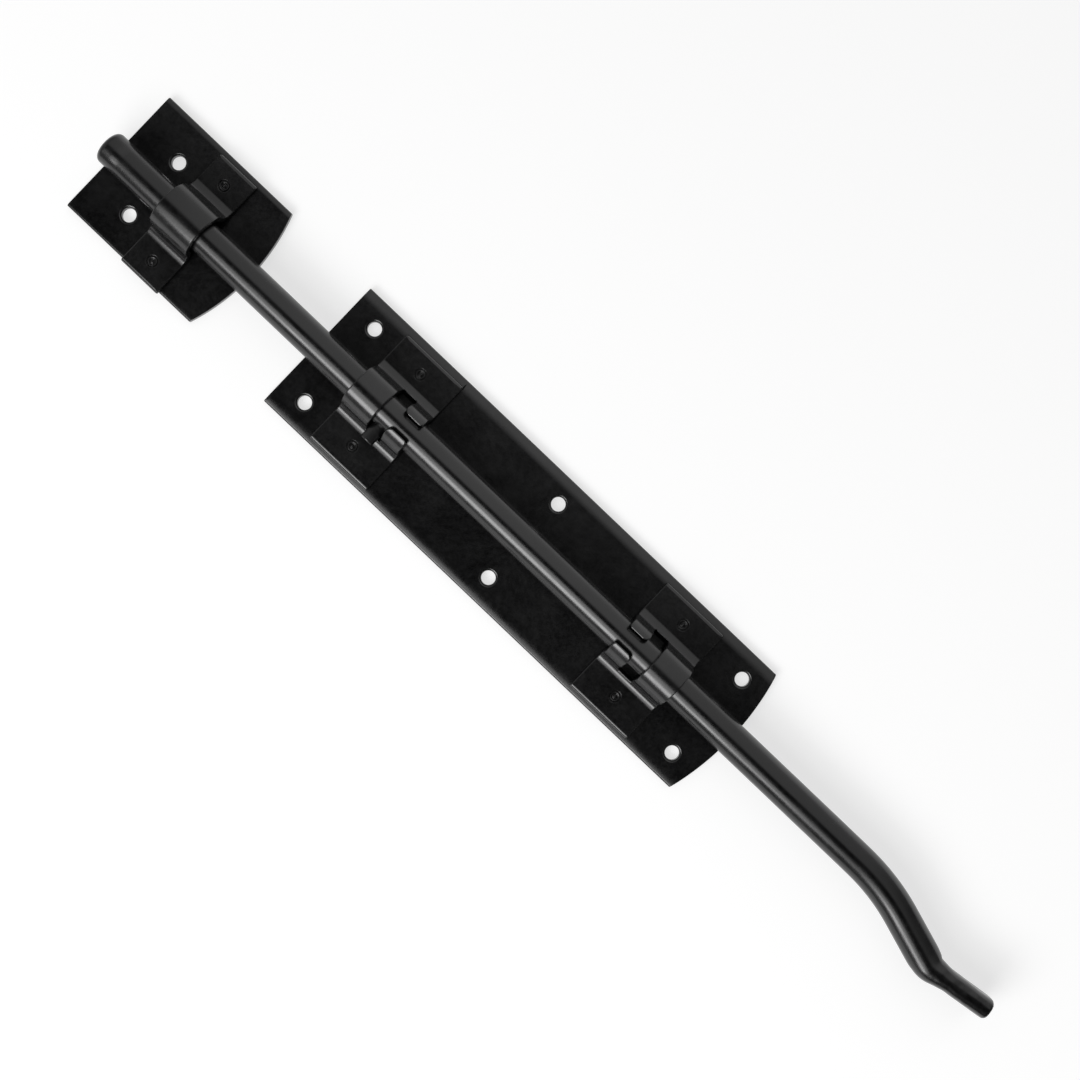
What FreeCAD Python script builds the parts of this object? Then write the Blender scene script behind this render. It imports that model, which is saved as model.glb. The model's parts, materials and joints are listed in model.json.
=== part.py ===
import FreeCAD, Part
import math
import os

import Sketcher
from FreeCAD import Placement, Rotation, Vector

# A surface-mounted sliding bolt for a gate or shutter: a long base plate with two riveted straps,
# a round rod with a bent, flattened tail, a stop pin in the rod, and a separate keeper.
#
# Frame: the rod slides along X and its tail points to +X.  Z is up from the mounting surface,
# which both plates lie on (Z = 0).  The origin is the centre of the base plate's screw holes,
# in line with the rod.
#
# How it works: the stop pin lies in the slot of the front strap and locks the rod.  A quarter
# turn lifts the pin into line with the gates between the straps' fingers.  The rod then slides
# until the pin is in the slot of the rear strap, and a turn either way locks it open.

PARTS_FOLDER = "parts"

# The sections of the tail's blade: the arcs of the round section that become the blade's flat
# sides and edges, in degrees, and how much of half the blade's thickness its edges round off.
ROOT_SIDE_ANGLE = 50
ROOT_TOP_ANGLE = 10
BLADE_EDGE_ROUND = 0.9

# name, millimetres, meaning
DIMENSIONS = [
    ("plate_thick", 3.0, "thickness of the base plate and the keeper plate"),
    ("plate_round", 2.4, "radius along the plates' long top edges"),
    ("base_left", -112.2, "straight end of the base plate"),
    ("base_right", 112.8, "crown of the base plate's curved end"),
    ("base_half_width", 30.6, "half the width of the base plate"),
    ("base_crown", 4.2, "rise of the base plate's curved end"),
    ("screw_pitch", 100.0, "spacing of the base plate's screw holes along the plate"),
    ("screw_gauge", 40.0, "spacing of the base plate's screw holes across the plate"),
    ("screw_hole_radius", 2.85, "radius of every screw hole"),
    ("screw_hole_bevel", 1.05, "bevel round the mouth of every screw hole"),
    ("keeper_station", -201.1, "line of the keeper plate's screw holes"),
    ("keeper_back", 20.3, "from the keeper's screw holes to its straight end"),
    ("keeper_front", 51.2, "from the keeper's screw holes to the crown of its curved end"),
    ("keeper_low", -28.3, "the keeper plate's edge on the -Y side"),
    ("keeper_high", 30.5, "the keeper plate's edge on the +Y side"),
    ("keeper_crown", 5.0, "rise of the keeper plate's curved end"),
    ("keeper_gauge", 28.4, "spacing of the keeper plate's screw holes"),
    ("rod_radius", 6.8, "radius of the rod"),
    ("rod_height", 10.2, "height of the rod's axis above the mounting surface"),
    ("rod_tip", -223.4, "end of the rod in the keeper"),
    ("rod_joint", -81.8, "where the rod's front length meets its rear length"),
    ("joint_gap", 0.05, "gap between the rod's two lengths"),
    ("flare_radius", 7.0, "radius of the upset tip of the rod"),
    ("flare_length", 5.5, "length of the upset tip at its full radius"),
    ("flare_blend", 4.0, "length over which the tip returns to the rod's radius"),
    ("flare_round", 2.4, "rounding of the tip's end"),
    ("strap_thick", 2.4, "thickness of the two straps on the base plate"),
    ("strap_outer", 9.6, "outer radius of those straps' arches"),
    ("strap_left", 27.5, "reach of the straps' flanges on the +Y side"),
    ("strap_right", 28.6, "reach of the straps' flanges on the -Y side"),
    ("strap_bend", 4.6, "radius on top of the bend between flange and arch"),
    ("flange_round", 1.5, "radius on the top edge of each flange's end"),
    ("front_station", -71.2, "centre of the front strap's slot, where the rod locks shut"),
    ("rear_station", 65.1, "centre of the rear strap's slot, where the rod locks open"),
    ("slot_width", 7.0, "width of the slot across each strap, along the rod"),
    ("slot_reach", 10.8, "how far the slot is cut to each side of the rod"),
    ("slot_floor", 6.3, "height above the mounting surface down to which the slot is cut"),
    ("arch_length", 14.2, "length along the rod of each whole arch"),
    ("finger_length", 9.3, "length along the rod of the straps' fingers"),
    ("finger_left", 4.7, "distance of the fingers' tips from the rod's axis on the +Y side"),
    ("finger_right", 3.4, "the same on the -Y side, where the fingers are closed further"),
    ("finger_inner_round", 2.4, "rounding of the fingers' corners at the slot"),
    ("finger_outer_round", 1.2, "rounding of the fingers' corners at the strap's end"),
    ("rivet_offset", 3.0, "from the slot's centre to the rivets, away from the fingers"),
    ("rivet_gauge", 19.4, "distance of the base rivets from the rod's axis"),
    ("keeper_strap_station", -181.0, "middle of the keeper's strap"),
    ("keeper_strap_length", 19.5, "length of the keeper's strap along the rod"),
    ("keeper_strap_thick", 2.5, "thickness of the keeper's strap"),
    ("keeper_strap_outer", 10.45, "outer radius of the keeper's arch"),
    ("keeper_strap_left", 28.4, "reach of the keeper strap's flange on the +Y side"),
    ("keeper_strap_right", 29.2, "reach of the keeper strap's flange on the -Y side"),
    ("keeper_rivet_left", 19.8, "the keeper's +Y rivet, from the rod's axis"),
    ("keeper_rivet_right", -21.0, "the keeper's -Y rivet, from the rod's axis"),
    ("rivet_radius", 2.4, "radius of the rivets' shanks"),
    ("rivet_head_radius", 3.9, "radius of the rivets' countersunk heads, flush with the back"),
    ("rivet_head_depth", 1.5, "depth of those countersunk heads"),
    ("rivet_rim_drop", 0.1, "the peened end's rim below the flange"),
    ("rivet_dish_drop", 0.45, "the ring of the peened end's dish below the flange"),
    ("rivet_centre_drop", 0.2, "the middle of the peened end below the flange"),
    ("rivet_dish_radius", 1.3, "radius of that ring"),
    ("pin_radius", 3.0, "radius of the stop pin"),
    ("pin_reach", 13.9, "outer end of the stop pin, from the rod's axis"),
    ("pin_seat", 1.5, "inner end of the stop pin and its blind hole, from the rod's axis"),
    ("pin_bevel", 0.5, "bevel on the pin's outer end"),
    ("tail_bend_start", 180.2, "where the rod's tail starts to bend"),
    ("tail_bend_radius", 88.0, "radius of the tail's long bend"),
    ("tail_angle", 17.5, "turn of the long bend towards -Y, in degrees"),
    ("tail_slant", 16.7, "straight length after the long bend, up to the forged blade"),
    ("kink_before", 5.1, "from the end of that length to the corner of the blade's bend"),
    ("kink_after", 10.4, "from that corner to where the blade is flat"),
    ("neck_after", 5.0, "from that corner to the blade's neck"),
    ("blade_length", 28.6, "from that corner to the end of the tail"),
    ("blade_angle", 6.4, "the blade's slope back towards +Y, in degrees"),
    ("blade_root_thick", 12.0, "thickness of the blade at the corner of the bend"),
    ("blade_root_tall", 14.0, "height of the blade at the corner of the bend"),
    ("blade_neck_thick", 10.4, "thickness of the blade at its neck"),
    ("blade_neck_tall", 14.6, "height of the blade at its neck"),
    ("blade_flat_thick", 9.1, "thickness of the blade where it is flat"),
    ("blade_flat_tall", 15.2, "height of the blade where it is flat"),
    ("blade_end_thick", 8.6, "thickness of the blade at its end"),
    ("blade_end_tall", 15.6, "height of the blade at its end"),
]


# ---------------------------------------------------------------- sizes and the sheet


class Dim:
    """A length with its value and the sheet expression that gives it."""

    def __init__(self, value, text=None):
        self.value = float(value)
        self.text = text or repr(self.value)

    def joined(self, sign, other, value):
        return Dim(value, f"({self.text} {sign} {other.text})")

    def __add__(self, other):
        other = as_dim(other)
        return self.joined("+", other, self.value + other.value)

    def __sub__(self, other):
        other = as_dim(other)
        return self.joined("-", other, self.value - other.value)

    def __mul__(self, other):
        other = as_dim(other)
        return self.joined("*", other, self.value * other.value)

    def __truediv__(self, other):
        other = as_dim(other)
        return self.joined("/", other, self.value / other.value)

    def __neg__(self):
        return self * -1


def as_dim(number):
    return number if isinstance(number, Dim) else Dim(number)


ZERO = Dim(0)


def make_sheet(doc):
    """Write the dimensions into the document's sheet and return them by name."""
    sheet = doc.addObject("Spreadsheet::Sheet", "Sizes")
    for row, (name, value, meaning) in enumerate(DIMENSIONS, start=1):
        sheet.set(f"A{row}", meaning)
        sheet.set(f"B{row}", str(value))
        sheet.setAlias(f"B{row}", name)
    doc.recompute()
    return {name: Dim(value, f"Sizes.{name}") for name, value, _ in DIMENSIONS}


doc = FreeCAD.newDocument("SlidingBolt")
size = make_sheet(doc)


# ---------------------------------------------------------------- sketches and features


def make_body(label, x=ZERO, y=ZERO, z=ZERO):
    """A body for one piece, placed by the sheet."""
    body = doc.addObject("PartDesign::Body", label)
    body.Label = label
    for axis, offset in zip("xyz", (x, y, z)):
        body.setExpression(f"Placement.Base.{axis}", offset.text)
    return body


def make_sketch(body, name, plane, offset=ZERO):
    """A sketch on one of the body's own planes, moved along that plane's normal."""
    sketch = body.newObject("Sketcher::SketchObject", name)
    origin_plane = [item for item in body.Origin.OriginFeatures if item.Role == plane]
    sketch.AttachmentSupport = [(origin_plane[0], "")]
    sketch.MapMode = "FlatFace"
    sketch.setExpression("AttachmentOffset.Base.z", offset.text)
    return sketch


def hold(sketch, kind, geometry, vertex, dim):
    """Fix one coordinate of a sketch point to the sheet."""
    if dim.value == 0:
        axis = -2 if kind == "DistanceX" else -1
        sketch.addConstraint(Sketcher.Constraint("PointOnObject", geometry, vertex, axis))
        return
    constraint = Sketcher.Constraint(kind, -1, 1, geometry, vertex, dim.value)
    index = sketch.addConstraint(constraint)
    sketch.setExpression(f"Constraints[{index}]", dim.text)


def hold_point(sketch, geometry, vertex, point):
    hold(sketch, "DistanceX", geometry, vertex, point[0])
    hold(sketch, "DistanceY", geometry, vertex, point[1])


def flat_vector(point):
    return Vector(point[0].value, point[1].value, 0)


def side_curve(start, end, arc):
    """A line or an arc between two corners, and which of its ends comes first."""
    if arc is None:
        return Part.LineSegment(flat_vector(start), flat_vector(end)), (1, 2)
    centre = flat_vector(arc["centre"])
    spokes = [flat_vector(corner) - centre for corner in (start, end)]
    angles = [math.atan2(spoke.y, spoke.x) for spoke in spokes]
    vertices = (1, 2)
    if arc.get("clockwise"):
        angles.reverse()
        vertices = (2, 1)
    circle = Part.Circle(centre, Vector(0, 0, 1), spokes[0].Length)
    return Part.ArcOfCircle(circle, angles[0], angles[1]), vertices


def draw_path(sketch, corners, arcs=None, closed=True):
    """Draw a chain of sides through the corners.  A side that is an arc is listed by its number,
    with its centre and the coordinate of the centre that the sheet fixes."""
    arcs = arcs or {}
    count = len(corners) if closed else len(corners) - 1
    sides = []
    for number in range(count):
        start, end = corners[number], corners[(number + 1) % len(corners)]
        curve, vertices = side_curve(start, end, arcs.get(number))
        sides.append((sketch.addGeometry(curve), vertices))
    joins = list(zip(sides, sides[1:] + sides[:1])) if closed else list(zip(sides, sides[1:]))
    for (first, first_ends), (second, second_ends) in joins:
        sketch.addConstraint(
            Sketcher.Constraint("Coincident", first, first_ends[1], second, second_ends[0]))
    for (geometry, vertices), corner in zip(sides, corners):
        hold_point(sketch, geometry, vertices[0], corner)
    if not closed:
        geometry, vertices = sides[-1]
        hold_point(sketch, geometry, vertices[1], corners[-1])
    for number, arc in arcs.items():
        coordinate = 0 if arc["fixed"] == "DistanceX" else 1
        hold(sketch, arc["fixed"], sides[number][0], 3, arc["centre"][coordinate])


def draw_circles(sketch, centres, radius):
    for centre in centres:
        circle = Part.Circle(flat_vector(centre), Vector(0, 0, 1), radius.value)
        geometry = sketch.addGeometry(circle)
        hold_point(sketch, geometry, 3, centre)
        index = sketch.addConstraint(Sketcher.Constraint("Radius", geometry, radius.value))
        sketch.setExpression(f"Constraints[{index}]", radius.text)


def pad(body, sketch, length):
    feature = body.newObject("PartDesign::Pad", sketch.Name + "Pad")
    feature.Profile = sketch
    feature.setExpression("Length", length.text)
    doc.recompute()
    return feature


def pocket_along_normal(body, sketch):
    """Cut away everything on the side that the sketch's normal points to."""
    before = body.Shape.Volume
    feature = body.newObject("PartDesign::Pocket", sketch.Name + "Pocket")
    feature.Profile = sketch
    feature.Type = "ThroughAll"
    feature.Reversed = True
    doc.recompute()
    if not body.Shape.Volume < before:
        raise RuntimeError(f"{feature.Name} cuts nothing")
    return feature


def revolve(body, sketch, axis):
    feature = body.newObject("PartDesign::Revolution", sketch.Name + "Turned")
    feature.Profile = sketch
    feature.ReferenceAxis = (sketch, [axis])
    feature.Angle = 360
    doc.recompute()
    return feature


def edges_through(feature, *points):
    """Names of the feature's edges whose middle lies on one of the points.  A coordinate given
    as None may have any value."""
    names = []
    for number, edge in enumerate(feature.Shape.Edges, start=1):
        middle = edge.valueAt((edge.FirstParameter + edge.LastParameter) / 2)
        for point in points:
            gaps = [abs(place - want.value)
                    for place, want in zip(middle, point) if want is not None]
            if max(gaps) < 1e-3:
                names.append(f"Edge{number}")
                break
    return names


def rim_edges(feature, radius, height):
    """Names of the feature's round edges of one radius at one height."""
    names = []
    for number, edge in enumerate(feature.Shape.Edges, start=1):
        round_edge = isinstance(edge.Curve, Part.Circle)
        if not round_edge or abs(edge.Curve.Radius - radius.value) > 1e-3:
            continue
        if abs(edge.Curve.Center.z - height.value) < 1e-3:
            names.append(f"Edge{number}")
    return names


def dress(body, kind, names, length, label):
    """Round or bevel the named edges of the body's last feature."""
    if not names:
        raise RuntimeError(f"{body.Label} has no edges for {label}")
    base = body.Tip
    feature = body.newObject(f"PartDesign::{kind}", body.Name + label)
    feature.Base = (base, names)
    feature.setExpression("Radius" if kind == "Fillet" else "Size", length.text)
    doc.recompute()
    return feature


# ---------------------------------------------------------------- plates


def make_plate(label, station, ends, edges, crown, screws, rivets):
    """A flat bar with one straight end and one end that is a shallow arc."""
    body = make_body(label, x=station)
    (left, right), (low, high) = ends, edges
    half = (high - low) / 2
    arc_radius = (half * half + crown * crown) / (crown * 2)
    shoulder = right - crown
    outline = make_sketch(body, label + "Outline", "XY_Plane")
    corners = [(left, low), (shoulder, low), (shoulder, high), (left, high)]
    curved_end = {"centre": (right - arc_radius, (high + low) / 2), "fixed": "DistanceX"}
    draw_path(outline, corners, arcs={1: curved_end})
    pad(body, outline, size["plate_thick"])

    long_edges = edges_through(body.Tip, (None, low, size["plate_thick"]),
                               (None, high, size["plate_thick"]))
    dress(body, "Fillet", long_edges, size["plate_round"], "LongEdges")

    screw_holes = make_sketch(body, label + "Screws", "XY_Plane")
    draw_circles(screw_holes, screws, size["screw_hole_radius"])
    pocket_along_normal(body, screw_holes)
    mouths = rim_edges(body.Tip, size["screw_hole_radius"], size["plate_thick"])
    dress(body, "Chamfer", mouths, size["screw_hole_bevel"], "Mouths")

    rivet_holes = make_sketch(body, label + "Rivets", "XY_Plane")
    draw_circles(rivet_holes, rivets, size["rivet_radius"])
    pocket_along_normal(body, rivet_holes)
    for number, (x, y) in enumerate(rivets, start=1):
        cut_countersink(body, f"{label}Sink{number}", x, y)
    return body


def countersink_profile(sketch, x):
    """Half of a rivet's countersunk head, standing on the mounting surface."""
    corners = [(x, ZERO), (x + size["rivet_head_radius"], ZERO),
               (x + size["rivet_radius"], size["rivet_head_depth"]),
               (x, size["rivet_head_depth"])]
    draw_path(sketch, corners)


def cut_countersink(body, name, x, y):
    """Turn a countersink into the back of a plate, round a rivet's hole."""
    sketch = make_sketch(body, name, "XZ_Plane", -y)
    countersink_profile(sketch, x)
    axis = sketch.addGeometry(
        Part.LineSegment(Vector(x.value, 0, 0), Vector(x.value, size["rivet_head_depth"].value, 0)),
        True)
    hold_point(sketch, axis, 1, (x, ZERO))
    hold_point(sketch, axis, 2, (x, size["rivet_head_depth"]))
    before = body.Shape.Volume
    feature = body.newObject("PartDesign::Groove", name + "Cut")
    feature.Profile = sketch
    feature.ReferenceAxis = (sketch, ["Axis0"])
    feature.Angle = 360
    doc.recompute()
    if not body.Shape.Volume < before:
        raise RuntimeError(f"{name} cuts nothing")


# ---------------------------------------------------------------- straps


def bend_strap(body, name, start, length, reaches, outer, thick):
    """A strap bent over the rod: two flanges on the plate, two walls and a round arch."""
    left, right = reaches
    low = size["plate_thick"]
    top = low + thick
    axis = size["rod_height"]
    inner = outer - thick
    sketch = make_sketch(body, name, "YZ_Plane", start)
    corners = [(left, low), (left, top), (outer, top), (outer, axis),
               (-outer, axis), (-outer, top), (-right, top), (-right, low),
               (-inner, low), (-inner, axis), (inner, axis), (inner, low)]
    over = {"centre": (ZERO, axis), "fixed": "DistanceY"}
    under = {"centre": (ZERO, axis), "fixed": "DistanceY", "clockwise": True}
    draw_path(sketch, corners, arcs={3: over, 9: under})
    pad(body, sketch, length)

    bend = size["strap_bend"]
    dress(body, "Fillet", edges_through(body.Tip, (None, outer, top), (None, -outer, top)),
          bend, "BendTop")
    dress(body, "Fillet", edges_through(body.Tip, (None, inner, low), (None, -inner, low)),
          bend + thick, "BendUnder")
    dress(body, "Fillet", edges_through(body.Tip, (None, left, top), (None, -right, top)),
          size["flange_round"], "FlangeEnds")


def drill_rivets(body, name, rivets):
    sketch = make_sketch(body, name, "XY_Plane")
    draw_circles(sketch, rivets, size["rivet_radius"])
    pocket_along_normal(body, sketch)


def make_gated_strap(label, station, fingers):
    """A strap of the base plate.  Its local X = 0 is the centre of its slot.  The fingers point
    along +X when fingers is 1 and along -X when it is -1."""
    body = make_body(label, x=station)
    slot = size["slot_width"] / 2 * fingers
    arch_end = -(slot + size["arch_length"] * fingers)
    finger_end = slot + size["finger_length"] * fingers
    start = arch_end if fingers > 0 else finger_end
    length = size["arch_length"] + size["slot_width"] + size["finger_length"]
    reaches = (size["strap_left"], size["strap_right"])
    bend_strap(body, label + "Bent", start, length, reaches,
               size["strap_outer"], size["strap_thick"])

    # The slot is open across the whole arch, and the gate joins it between the finger tips.
    reach = size["slot_reach"]
    left, right = size["finger_left"], -size["finger_right"]
    beyond = finger_end + size["finger_length"] * fingers
    opening = make_sketch(body, label + "Gate", "XY_Plane", size["slot_floor"])
    draw_path(opening, [(-slot, -reach), (slot, -reach), (slot, right), (beyond, right),
                        (beyond, left), (slot, left), (slot, reach), (-slot, reach)])
    pocket_along_normal(body, opening)
    dress(body, "Fillet", edges_through(body.Tip, (slot, left, None), (slot, right, None)),
          size["finger_inner_round"], "InnerTips")
    dress(body, "Fillet",
          edges_through(body.Tip, (finger_end, left, None), (finger_end, right, None)),
          size["finger_outer_round"], "OuterTips")
    rivet_x = -(size["rivet_offset"] * fingers)
    rivet_y = size["rivet_gauge"]
    drill_rivets(body, label + "Drill", [(rivet_x, rivet_y), (rivet_x, -rivet_y)])
    return body


def make_keeper_strap(label, station):
    """The keeper's plain strap, a little wider and taller than those of the base plate."""
    body = make_body(label, x=station)
    length = size["keeper_strap_length"]
    reaches = (size["keeper_strap_left"], size["keeper_strap_right"])
    bend_strap(body, label + "Bent", -(length / 2), length, reaches,
               size["keeper_strap_outer"], size["keeper_strap_thick"])
    drill_rivets(body, label + "Drill",
                 [(ZERO, size["keeper_rivet_left"]), (ZERO, size["keeper_rivet_right"])])
    return body


def make_rivet(label, x, y, strap_thick):
    """A rivet with a countersunk head at the back and a dished, peened end in the flange."""
    body = make_body(label, x=x, y=y)
    flange = size["plate_thick"] + strap_thick
    sketch = make_sketch(body, label + "Profile", "XZ_Plane")
    draw_path(sketch, [
        (ZERO, ZERO),
        (size["rivet_head_radius"], ZERO),
        (size["rivet_radius"], size["rivet_head_depth"]),
        (size["rivet_radius"], flange - size["rivet_rim_drop"]),
        (size["rivet_dish_radius"], flange - size["rivet_dish_drop"]),
        (ZERO, flange - size["rivet_centre_drop"]),
    ])
    revolve(body, sketch, "V_Axis")
    return body


# ---------------------------------------------------------------- rod and stop pin


def make_rod_front(label):
    """The rod's front length, with its upset and rounded tip."""
    body = make_body(label, z=size["rod_height"])
    tip, radius, flare = size["rod_tip"], size["rod_radius"], size["flare_radius"]
    full = tip + size["flare_length"]
    end = size["rod_joint"] - size["joint_gap"]
    sketch = make_sketch(body, label + "Profile", "XZ_Plane")
    draw_path(sketch, [(tip, ZERO), (tip, flare), (full, flare),
                       (full + size["flare_blend"], radius), (end, radius), (end, ZERO)])
    revolve(body, sketch, "H_Axis")
    names = []
    for number, edge in enumerate(body.Tip.Shape.Edges, start=1):
        if abs(edge.BoundBox.XMin - tip.value) + abs(edge.BoundBox.XMax - tip.value) < 1e-3:
            names.append(f"Edge{number}")
    dress(body, "Fillet", names, size["flare_round"], "Tip")
    return body


def bend_end():
    """Where the tail's long bend ends, as numbers: the sheet holds its radius and angle."""
    turn = math.radians(size["tail_angle"].value)
    sine = Dim(math.sin(turn), f"sin({size['tail_angle'].text} * 1deg)")
    cosine = Dim(math.cos(turn), f"cos({size['tail_angle'].text} * 1deg)")
    radius = size["tail_bend_radius"]
    end = (size["tail_bend_start"] + radius * sine, -(radius * (Dim(1, "1") - cosine)))
    return end, sine, cosine


def along(point, distance, sine, cosine):
    """A point further along the slanted part of the tail."""
    return (point[0] + distance * cosine, point[1] - distance * sine)


def stand_section(body, name, centre, turn):
    """An empty sketch standing square to the tail: its X is across the tail, its Y is up."""
    sketch = body.newObject("Sketcher::SketchObject", name)
    upright = Rotation(Vector(0, 1, 0), Vector(0, 0, 1), Vector(1, 0, 0), "ZXY")
    heading = Rotation(Vector(0, 0, 1), turn)
    sketch.Placement = Placement(Vector(0, 0, 0), heading.multiply(upright))
    sketch.setExpression("Placement.Base.x", centre[0].text)
    sketch.setExpression("Placement.Base.y", centre[1].text)
    return sketch


def root_section(body, name, centre, turn):
    """The rod's round section in the eight sides that the blade's sections have."""
    sketch = stand_section(body, name, centre, turn)
    radius = size["rod_radius"]
    half_side, half_top = ROOT_SIDE_ANGLE / 2, ROOT_TOP_ANGLE / 2
    angles = [-half_side, half_side, 90 - half_top, 90 + half_top,
              180 - half_side, 180 + half_side, 270 - half_top, 270 + half_top]
    corners = [(radius * math.cos(math.radians(angle)), radius * math.sin(math.radians(angle)))
               for angle in angles]
    # The top and bottom arcs, sides 2 and 6, hold their centre's height, the others its X.
    arcs = {side: {"centre": (ZERO, ZERO),
                   "fixed": "DistanceY" if side % 4 == 2 else "DistanceX"}
            for side in range(len(corners))}
    draw_path(sketch, corners, arcs=arcs)
    return sketch


def blade_section(body, name, centre, turn, thick, tall):
    """A section of the forged blade: flat sides, and rounded ends that take in almost half
    its thickness."""
    sketch = stand_section(body, name, centre, turn)
    half_thick, half_tall = thick / 2, tall / 2
    corner = half_thick * BLADE_EDGE_ROUND
    flat_y, flat_z = half_thick - corner, half_tall - corner
    corners = [(half_thick, -flat_z), (half_thick, flat_z), (flat_y, half_tall),
               (-flat_y, half_tall), (-half_thick, flat_z), (-half_thick, -flat_z),
               (-flat_y, -half_tall), (flat_y, -half_tall)]
    arcs = {1: {"centre": (flat_y, flat_z), "fixed": "DistanceX"},
            3: {"centre": (-flat_y, flat_z), "fixed": "DistanceX"},
            5: {"centre": (-flat_y, -flat_z), "fixed": "DistanceX"},
            7: {"centre": (flat_y, -flat_z), "fixed": "DistanceX"}}
    draw_path(sketch, corners, arcs=arcs)
    return sketch


def make_rod_rear(label):
    """The rod's rear length: straight, then a long bend, then a blade forged flat and turned
    back, with a blind hole for the stop pin."""
    body = make_body(label, z=size["rod_height"])
    start = size["rod_joint"]
    bend_start = size["tail_bend_start"]
    end, sine, cosine = bend_end()
    slant_end = along(end, size["tail_slant"], sine, cosine)

    spine = make_sketch(body, label + "Route", "XY_Plane")
    centre = (bend_start, -size["tail_bend_radius"])
    draw_path(spine, [(start, ZERO), (bend_start, ZERO), end, slant_end], closed=False,
              arcs={1: {"centre": centre, "fixed": "DistanceX", "clockwise": True}})
    circle = make_sketch(body, label + "Section", "YZ_Plane", start)
    draw_circles(circle, [(ZERO, ZERO)], size["rod_radius"])
    pipe = body.newObject("PartDesign::AdditivePipe", label + "Pipe")
    pipe.Profile = circle
    pipe.Spine = spine
    doc.recompute()

    # The blade: its corner lies on the slant's line, and it leaves the corner at its own slope.
    kink = along(slant_end, size["kink_before"], sine, cosine)
    slope = math.radians(size["blade_angle"].value)
    rise = Dim(math.sin(slope), f"sin({size['blade_angle'].text} * 1deg)")
    run = Dim(math.cos(slope), f"cos({size['blade_angle'].text} * 1deg)")
    slant = -size["tail_angle"].value
    lift = size["blade_angle"].value
    sections = [
        root_section(body, label + "Root", slant_end, slant),
        blade_section(body, label + "Kink", kink, (slant + lift) / 2,
                      size["blade_root_thick"], size["blade_root_tall"]),
    ]
    middle = [(size[flat] + size[end]) / 2
              for flat, end in (("kink_after", "blade_length"),
                                ("blade_flat_thick", "blade_end_thick"),
                                ("blade_flat_tall", "blade_end_tall"))]
    for name, distance, thick, tall in (
            ("Neck", size["neck_after"], size["blade_neck_thick"], size["blade_neck_tall"]),
            ("Flat", size["kink_after"], size["blade_flat_thick"], size["blade_flat_tall"]),
            ("Middle", *middle),
            ("End", size["blade_length"], size["blade_end_thick"], size["blade_end_tall"])):
        place = (kink[0] + distance * run, kink[1] + distance * rise)
        sections.append(blade_section(body, label + name, place, lift, thick, tall))
    loft = body.newObject("PartDesign::AdditiveLoft", label + "Blade")
    loft.Profile = sections[0]
    loft.Sections = sections[1:]
    doc.recompute()

    hole = make_sketch(body, label + "PinHole", "XZ_Plane", size["pin_seat"])
    draw_circles(hole, [(size["front_station"], ZERO)], size["pin_radius"])
    pocket_along_normal(body, hole)
    return body


def make_stop_pin(label):
    """The stop pin, pressed into the rod and standing out towards -Y."""
    body = make_body(label, x=size["front_station"], z=size["rod_height"])
    circle = make_sketch(body, label + "Section", "XZ_Plane", size["pin_seat"])
    draw_circles(circle, [(ZERO, ZERO)], size["pin_radius"])
    pad(body, circle, size["pin_reach"] - size["pin_seat"])
    outer = [f"Edge{number}" for number, edge in enumerate(body.Tip.Shape.Edges, start=1)
             if abs(edge.BoundBox.YMax + size["pin_reach"].value) < 1e-3]
    dress(body, "Chamfer", outer, size["pin_bevel"], "OuterEnd")
    return body


# ---------------------------------------------------------------- the whole bolt


def build():
    sides = {"left": size["rivet_gauge"], "right": -size["rivet_gauge"]}
    front_rivet_x = size["front_station"] - size["rivet_offset"]
    rear_rivet_x = size["rear_station"] + size["rivet_offset"]
    half_gauge = size["screw_gauge"] / 2
    base_screws = [(size["screw_pitch"] * step, half_gauge * side)
                   for step in (-1, 0, 1) for side in (-1, 1)]
    base_rivets = [(x, y) for x in (front_rivet_x, rear_rivet_x) for y in sides.values()]
    pieces = [make_plate(
        "base_plate", ZERO, (size["base_left"], size["base_right"]),
        (-size["base_half_width"], size["base_half_width"]), size["base_crown"],
        base_screws, base_rivets)]
    pieces.append(make_gated_strap("front_strap", size["front_station"], 1))
    pieces.append(make_gated_strap("rear_strap", size["rear_station"], -1))
    for end, x in (("front", front_rivet_x), ("rear", rear_rivet_x)):
        for side, y in sides.items():
            pieces.append(make_rivet(f"{end}_rivet_{side}", x, y, size["strap_thick"]))

    station = size["keeper_station"]
    strap_x = size["keeper_strap_station"]
    keeper_rivets = {"left": size["keeper_rivet_left"], "right": size["keeper_rivet_right"]}
    half_keeper_gauge = size["keeper_gauge"] / 2
    pieces.append(make_plate(
        "keeper_plate", station, (-size["keeper_back"], size["keeper_front"]),
        (size["keeper_low"], size["keeper_high"]), size["keeper_crown"],
        [(ZERO, half_keeper_gauge), (ZERO, -half_keeper_gauge)],
        [(strap_x - station, y) for y in keeper_rivets.values()]))
    pieces.append(make_keeper_strap("keeper_strap", strap_x))
    for side, y in keeper_rivets.items():
        pieces.append(make_rivet(f"keeper_rivet_{side}", strap_x, y, size["keeper_strap_thick"]))

    pieces.append(make_rod_front("rod_front"))
    pieces.append(make_rod_rear("rod_rear"))
    pieces.append(make_stop_pin("stop_pin"))
    return pieces


def check(pieces):
    """Stop if any object failed or any piece is not one valid solid."""
    for item in doc.Objects:
        if "Invalid" in item.State or "Error" in item.State:
            raise RuntimeError(f"{item.Name} failed: {item.State}")
    for piece in pieces:
        shape = piece.Shape
        if shape.isNull() or not shape.isValid() or len(shape.Solids) != 1:
            raise RuntimeError(f"{piece.Label} is not one valid solid")
        box = shape.BoundBox
        print(f"{piece.Label:20} {shape.Volume:10.1f} mm3   "
              f"X {box.XMin:8.2f} {box.XMax:8.2f}   Y {box.YMin:7.2f} {box.YMax:7.2f}   "
              f"Z {box.ZMin:6.2f} {box.ZMax:6.2f}")


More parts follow.
